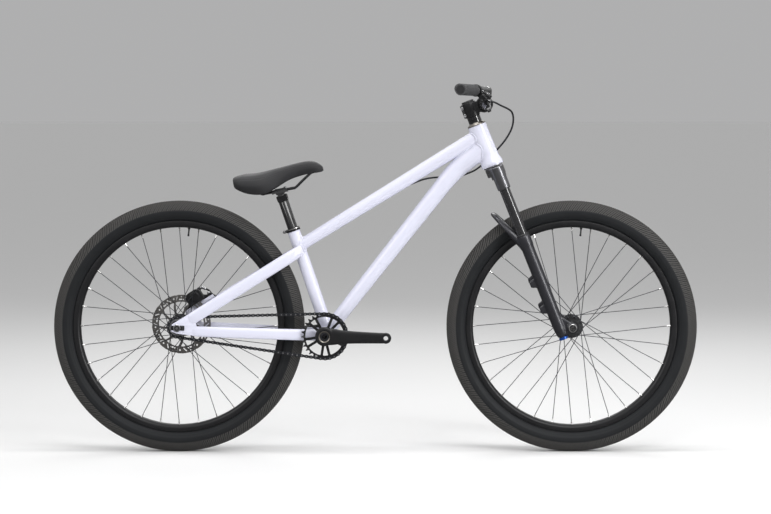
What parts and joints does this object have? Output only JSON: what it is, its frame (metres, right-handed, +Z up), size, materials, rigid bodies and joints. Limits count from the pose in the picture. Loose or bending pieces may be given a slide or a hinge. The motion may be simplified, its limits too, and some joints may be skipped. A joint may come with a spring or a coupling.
{
  "type": "dirt jump bicycle",
  "caption": "Hardtail dirt jump bicycle with a suspension fork, single-speed drive, rear disc brake, low saddle and wide riser bar, without pedals.",
  "frame": {"origin": "on the ground, midway between the two axles, in the bicycle's middle plane", "axes": "+X forward, +Y to the rider's left, +Z up"},
  "size_m": [1.736, 0.7838, 0.9927],
  "materials": {
    "frame_paint": "gloss lilac-white paint",
    "black_gloss": "gloss black",
    "black_satin": "satin black",
    "fork_grey": "satin dark grey",
    "crown_grey": "satin grey",
    "blue": "blue anodised",
    "champagne": "champagne anodised",
    "silver": "bare machined metal",
    "steel": "bare steel",
    "dark_steel": "dark plated steel",
    "rotor_steel": "ground steel",
    "tyre": "matt rubber",
    "grip": "matt rubber",
    "black_plastic": "satin black",
    "saddle_cover": "matt black synthetic leather"
  },
  "bodies": {
    "frame": {"head_tube": "frame_paint", "top_tube": "frame_paint", "down_tube": "frame_paint", "seat_tube": "frame_paint", "bottom_bracket_shell": "frame_paint", "seatstay_right": "frame_paint", "seatstay_left": "frame_paint", "chainstay_right": "frame_paint", "chainstay_left": "frame_paint", "dropout_right": "frame_paint", "dropout_left": "frame_paint", "seat_clamp": "silver", "headset_bearing_upper": "steel", "headset_bearing_lower": "steel", "bottom_bracket": "black_satin", "rear_axle": "steel", "brake_caliper": "black_satin", "brake_hose": "black_plastic", "chain": "dark_steel", "chain_tensioner": "black_satin"},
    "steering": {"fork_crown": "crown_grey", "stanchion_right": "black_gloss", "stanchion_left": "black_gloss", "stem": "black_satin", "stem_faceplate": "black_satin", "headset_cover": "champagne", "headset_spacer": "black_satin", "top_cap": "black_satin", "handlebar": "black_gloss", "grip_right": "grip", "grip_left": "grip", "brake_lever_body": "black_satin", "brake_hose_loop": "black_plastic"},
    "fork_slider": {"fork_lowers": "fork_grey", "front_axle": "silver"},
    "rebound_dial": {"rebound_knob": "blue"},
    "front_wheel": {"front_tyre": "tyre", "front_rim": "black_gloss", "front_spokes_right": "dark_steel", "front_spokes_left": "dark_steel", "front_hub": "black_satin"},
    "rear_wheel": {"rear_tyre": "tyre", "rear_rim": "black_gloss", "rear_spokes_right": "dark_steel", "rear_spokes_left": "dark_steel", "rear_hub": "black_satin", "brake_rotor": "rotor_steel"},
    "crank": {"crank_arm_right": "black_gloss", "crank_arm_left": "black_gloss", "crank_spindle": "dark_steel", "chainring": "black_satin"},
    "cog": {"rear_cog": "steel"},
    "seat_post": {"seatpost": "black_gloss"},
    "seat_clamp_head": {"saddle_clamp": "black_satin"},
    "saddle": {"saddle_rails": "dark_steel", "saddle_base": "black_plastic", "saddle_pad": "saddle_cover"},
    "lever": {"brake_lever": "black_satin"},
    "pad_inner": {"brake_pad_inner": "steel"},
    "pad_outer": {"brake_pad_outer": "steel"}
  },
  "joints": [
    {"name": "steering_turn", "type": "hinge", "parent": "frame", "child": "steering", "pos_m": [0.31695, 0, 0.77098], "axis": [-0.3681, 0, 0.9298], "range_deg": [-80, 80], "deforming": ["brake_hose_loop"]},
    {"name": "fork_travel", "type": "slide", "parent": "steering", "child": "fork_slider", "axis": [-0.3681, 0, 0.9298], "range_m": [0, 0.1], "stiffness_N_per_m": 5500, "springref_m": -0.03},
    {"name": "rebound_turn", "type": "hinge", "parent": "fork_slider", "child": "rebound_dial", "pos_m": [0.5056, -0.065, 0.31081], "axis": [-0.3681, 0, 0.9298], "range_deg": [-135, 135]},
    {"name": "front_wheel_spin", "type": "hinge", "parent": "fork_slider", "child": "front_wheel", "pos_m": [0.53, 0, 0.338], "axis": [0, 1, 0], "continuous": true},
    {"name": "rear_wheel_spin", "type": "hinge", "parent": "frame", "child": "rear_wheel", "pos_m": [-0.53, 0, 0.338], "axis": [0, 1, 0], "continuous": true},
    {"name": "crank_spin", "type": "hinge", "parent": "frame", "child": "crank", "pos_m": [-0.13533, 0, 0.314], "axis": [0, 1, 0], "continuous": true, "deforming": ["chain"]},
    {"name": "cog_spin", "type": "hinge", "parent": "frame", "child": "cog", "pos_m": [-0.53, 0, 0.338], "axis": [0, 1, 0], "continuous": true},
    {"name": "seat_height", "type": "slide", "parent": "frame", "child": "seat_post", "axis": [-0.3239, 0, 0.9461], "range_m": [-0.05, 0.06]},
    {"name": "saddle_tilt", "type": "hinge", "parent": "seat_post", "child": "seat_clamp_head", "pos_m": [-0.25856, 0, 0.70312], "axis": [0, 1, 0], "range_deg": [-10, 10]},
    {"name": "saddle_shift", "type": "slide", "parent": "seat_clamp_head", "child": "saddle", "axis": [0.9816, 0, 0.1908], "range_m": [-0.015, 0.015]},
    {"name": "lever_squeeze", "type": "hinge", "parent": "steering", "child": "lever", "pos_m": [0.29921, -0.25492, 0.94332], "axis": [-0.6603, 0.1618, -0.7333], "range_deg": [0, 22], "stiffness_Nm_per_rad": 1.5, "springref_deg": -8.59},
    {"name": "pad_inner_press", "type": "slide", "parent": "frame", "child": "pad_inner", "axis": [0, 1, 0], "range_m": [0, 0.0004]},
    {"name": "pad_outer_press", "type": "slide", "parent": "frame", "child": "pad_outer", "axis": [0, -1, 0], "range_m": [0, 0.0004]}
  ],
  "couplings": [
    {"joint": "cog_spin", "follows": "crank_spin", "ratio": 2.3077},
    {"joint": "pad_inner_press", "follows": "lever_squeeze", "m_per_rad": 0.001},
    {"joint": "pad_outer_press", "follows": "lever_squeeze", "m_per_rad": 0.001}
  ]
}
